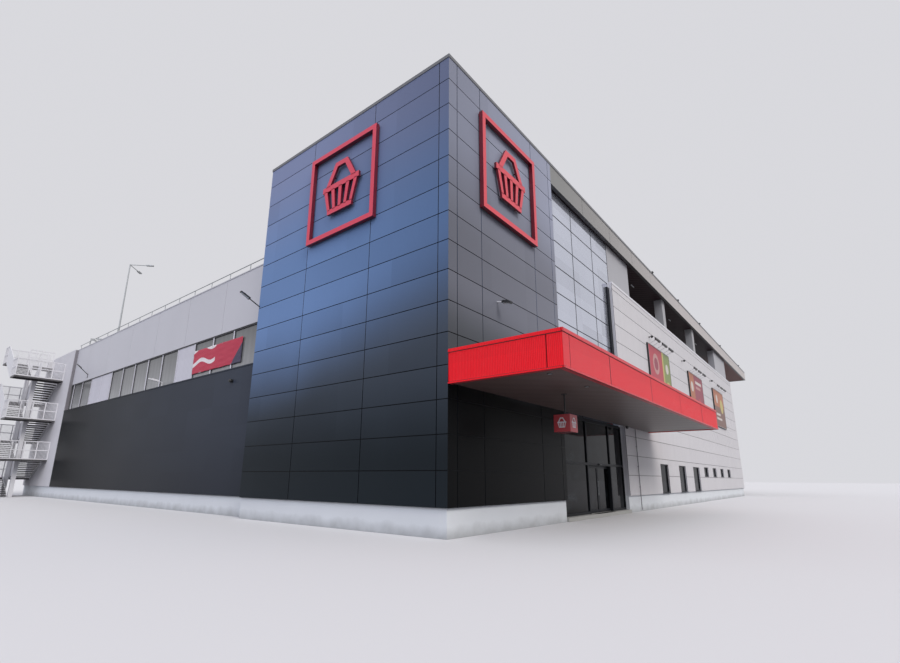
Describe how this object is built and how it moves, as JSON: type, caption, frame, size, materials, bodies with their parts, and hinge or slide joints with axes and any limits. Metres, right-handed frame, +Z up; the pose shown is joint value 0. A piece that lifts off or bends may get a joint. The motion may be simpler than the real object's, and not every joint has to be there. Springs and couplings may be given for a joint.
{
  "type": "supermarket building, 1:2 scale model",
  "caption": "Supermarket with a dark corner tower, glazed entrance under a long red canopy, white front with an open roof gallery, side wing and escape stair.",
  "frame": {"origin": "centre of the overall bounding box, on the ground", "axes": "+X runs along the entrance front from the corner tower to the roof's far end, the entrance front faces -Y, the left wing faces -X, +Z up"},
  "size_m": [39.112, 28.515, 9.73],
  "materials": {
    "anthracite_cladding": "satin",
    "white_cladding": "satin",
    "silver_cladding": "satin",
    "fascia_metal": "satin",
    "red_cladding": "satin",
    "red_sign": "gloss",
    "dark_frame": "powder coated",
    "clear_glass": "clear",
    "frosted_glazing": "frosted",
    "concrete": "cast concrete",
    "plinth_render": "rendered",
    "soffit_metal": "matt",
    "roof_membrane": "matt",
    "galvanised_steel": "galvanised",
    "white_steel": "satin",
    "poster_board": "printed",
    "banner_cloth": "printed mesh",
    "lamp_body": "satin",
    "facade_column": "satin"
  },
  "bodies": {
    "building": {"back_wall": "white_cladding", "banner": "banner_cloth", "billboard_lamps": "lamp_body", "billboards": "poster_board", "canopy_fascia": "red_cladding", "canopy_roof": "roof_membrane", "canopy_soffit": "soffit_metal", "cube_sign": "red_sign", "cube_sign_rod": "lamp_body", "curtain_wall_frame": "dark_frame", "curtain_wall_glass": "clear_glass", "door_track": "dark_frame", "downpipe": "silver_cladding", "end_wall": "white_cladding", "entrance_frame": "dark_frame", "entrance_glass": "clear_glass", "front_coping": "white_steel", "front_wall": "white_cladding", "gallery_columns": "facade_column", "gallery_end_panel": "silver_cladding", "ground_floor": "concrete", "left_wall_lower": "anthracite_cladding", "left_wall_upper": "silver_cladding", "left_window_glass": "frosted_glazing", "left_window_posts": "white_steel", "lobby_back_wall": "silver_cladding", "lobby_wall": "silver_cladding", "overhang_columns": "facade_column", "plinth_back": "plinth_render", "plinth_front": "plinth_render", "plinth_left": "plinth_render", "plinth_right": "plinth_render", "plinth_tower": "plinth_render", "right_wall": "white_cladding", "roof_coping": "fascia_metal", "roof_deck": "concrete", "roof_fascia": "fascia_metal", "roof_lamp": "galvanised_steel", "roof_rail": "galvanised_steel", "sign_frame_front": "red_sign", "sign_frame_left": "red_sign", "stair_guards": "white_steel", "stair_landings": "galvanised_steel", "stair_posts": "white_steel", "stair_rails": "white_steel", "stair_stringers": "white_steel", "stair_treads": "galvanised_steel", "tower_back_wall": "anthracite_cladding", "tower_coping": "dark_frame", "tower_front_wall": "anthracite_cladding", "tower_left_wall": "anthracite_cladding", "tower_roof": "roof_membrane", "upper_floor": "concrete", "upper_roof": "soffit_metal", "window_frames": "dark_frame", "window_glass": "clear_glass"},
    "leaf_left": {"door_leaf_left": "dark_frame", "door_glass_left": "clear_glass"},
    "leaf_right": {"door_leaf_right": "dark_frame", "door_glass_right": "clear_glass"}
  },
  "joints": [
    {"name": "leaf_left_slide", "type": "slide", "parent": "building", "child": "leaf_left", "axis": [-1, 0, 0], "range_m": [0, 0.7]},
    {"name": "leaf_right_slide", "type": "slide", "parent": "building", "child": "leaf_right", "axis": [1, 0, 0], "range_m": [0, 0.7]}
  ],
  "couplings": [
    {"joint": "leaf_right_slide", "follows": "leaf_left_slide", "ratio": 1}
  ]
}
